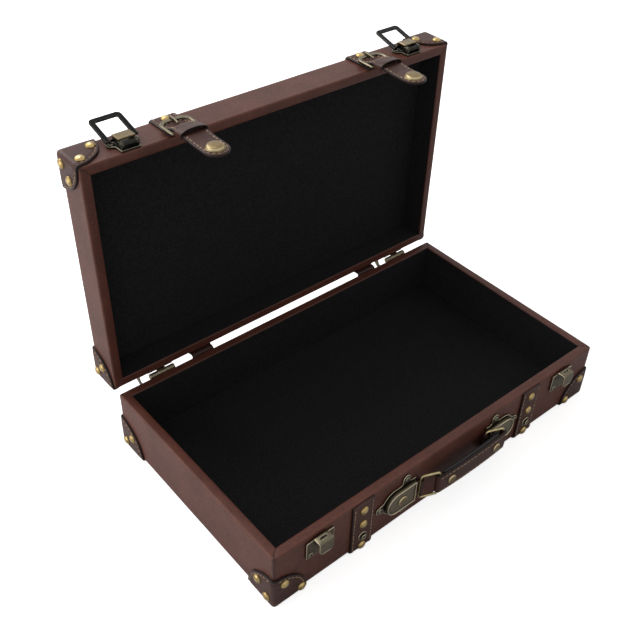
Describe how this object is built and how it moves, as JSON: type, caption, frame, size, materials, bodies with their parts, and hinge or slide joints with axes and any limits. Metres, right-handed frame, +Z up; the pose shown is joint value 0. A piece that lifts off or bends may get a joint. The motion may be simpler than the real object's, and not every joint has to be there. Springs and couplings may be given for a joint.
{
  "type": "travelling case",
  "caption": "Small hard travelling case in brown leather over board, standing open, with corner leathers, buckled straps, draw latches and a ring handle.",
  "frame": {"origin": "on the underside, at the middle of the base", "axes": "+X along the case, the front with its handle towards -Y, the hinges towards +Y, +Z up; the lid stands open at a right angle at rest"},
  "size_m": [0.4088, 0.2963, 0.3079],
  "materials": {
    "board": "raw",
    "cover_leather": "smooth waxed grain",
    "trim_leather": "dark stitched leather",
    "black_fabric": "fine matt weave",
    "black_padding": "soft matt",
    "leatherboard": "rough matt",
    "gold_brass": "worn polish",
    "aged_brass": "dull with bright worn edges",
    "dark_metal": "dark satin",
    "black_metal": "black satin"
  },
  "bodies": {
    "base": {"base_bottom_board": "board", "base_frame": "board", "base_cover": "cover_leather", "base_lining": "black_fabric", "base_corner_front_left": "trim_leather", "base_corner_front_right": "trim_leather", "base_corner_rear_left": "trim_leather", "base_corner_rear_right": "trim_leather", "bottom_sheet": "leatherboard", "base_strap_left": "trim_leather", "base_strap_right": "trim_leather", "snap_stud_left": "aged_brass", "snap_stud_right": "aged_brass", "keeper_left": "aged_brass", "keeper_right": "aged_brass", "base_hinge_leaf_left": "aged_brass", "base_hinge_leaf_right": "aged_brass", "hinge_pin_left": "aged_brass", "hinge_pin_right": "aged_brass", "handle_plate_left": "aged_brass", "handle_plate_right": "aged_brass", "handle_cap_left": "aged_brass", "handle_cap_right": "aged_brass", "handle_tab_left": "trim_leather", "handle_tab_right": "trim_leather"},
    "lid": {"lid_top_board": "board", "lid_frame": "board", "lid_cover": "cover_leather", "lid_lining": "black_fabric", "lid_corner_front_left": "trim_leather", "lid_corner_front_right": "trim_leather", "lid_corner_rear_left": "trim_leather", "lid_corner_rear_right": "trim_leather", "lid_strap_left": "trim_leather", "lid_strap_right": "trim_leather", "strap_chape_left": "trim_leather", "strap_chape_right": "trim_leather", "strap_loop_left": "trim_leather", "strap_loop_right": "trim_leather", "buckle_frame_left": "aged_brass", "buckle_frame_right": "aged_brass", "buckle_prong_left": "aged_brass", "buckle_prong_right": "aged_brass", "latch_plate_left": "dark_metal", "latch_plate_right": "dark_metal", "lid_hinge_leaf_left": "aged_brass", "lid_hinge_leaf_right": "aged_brass"},
    "lever_left": {"latch_lever_left": "aged_brass"},
    "lever_right": {"latch_lever_right": "aged_brass"},
    "bail_left": {"latch_bail_left": "black_metal"},
    "bail_right": {"latch_bail_right": "black_metal"},
    "tongue_left": {"tongue_left": "trim_leather", "snap_cap_left": "aged_brass"},
    "tongue_right": {"tongue_right": "trim_leather", "snap_cap_right": "aged_brass"},
    "ring_left": {"handle_ring_left": "gold_brass"},
    "ring_right": {"handle_ring_right": "gold_brass"},
    "handle": {"handle_strap": "trim_leather", "handle_backing": "black_padding"}
  },
  "joints": [
    {"name": "lid_hinge", "type": "hinge", "parent": "base", "child": "lid", "pos_m": [0, 0.1188, 0.0607], "axis": [1, 0, 0], "range_deg": [0, 90]},
    {"name": "left_latch_lever", "type": "hinge", "parent": "lid", "child": "lever_left", "pos_m": [-0.154, 0.1246, 0.3005], "axis": [-1, 0, 0], "range_deg": [-90, 0]},
    {"name": "right_latch_lever", "type": "hinge", "parent": "lid", "child": "lever_right", "pos_m": [0.154, 0.1246, 0.3005], "axis": [-1, 0, 0], "range_deg": [-90, 0]},
    {"name": "left_latch_bail", "type": "hinge", "parent": "lever_left", "child": "bail_left", "pos_m": [-0.154, 0.1366, 0.29975], "axis": [1, 0, 0], "range_deg": [0, 165]},
    {"name": "right_latch_bail", "type": "hinge", "parent": "lever_right", "child": "bail_right", "pos_m": [0.154, 0.1366, 0.29975], "axis": [1, 0, 0], "range_deg": [0, 165]},
    {"name": "left_tongue_bend", "type": "hinge", "parent": "lid", "child": "tongue_left", "pos_m": [-0.107, 0.1041, 0.3025], "axis": [1, 0, 0], "range_deg": [-60, 0]},
    {"name": "right_tongue_bend", "type": "hinge", "parent": "lid", "child": "tongue_right", "pos_m": [0.107, 0.1041, 0.3025], "axis": [1, 0, 0], "range_deg": [-60, 0]},
    {"name": "left_ring_swing", "type": "hinge", "parent": "base", "child": "ring_left", "pos_m": [-0.042, -0.1197, 0.034], "axis": [0, 0, -1], "range_deg": [0, 136]},
    {"name": "right_ring_swing", "type": "hinge", "parent": "base", "child": "ring_right", "pos_m": [0.042, -0.1197, 0.034], "axis": [0, 0, -1], "range_deg": [0, 136]},
    {"name": "handle_swing", "type": "hinge", "parent": "ring_left", "child": "handle", "pos_m": [-0.02531, -0.12644, 0.034], "axis": [0, 0, -1], "range_deg": [-136, 0]}
  ],
  "couplings": [
    {"joint": "right_ring_swing", "follows": "left_ring_swing", "ratio": 1},
    {"joint": "handle_swing", "follows": "left_ring_swing", "ratio": -1}
  ]
}
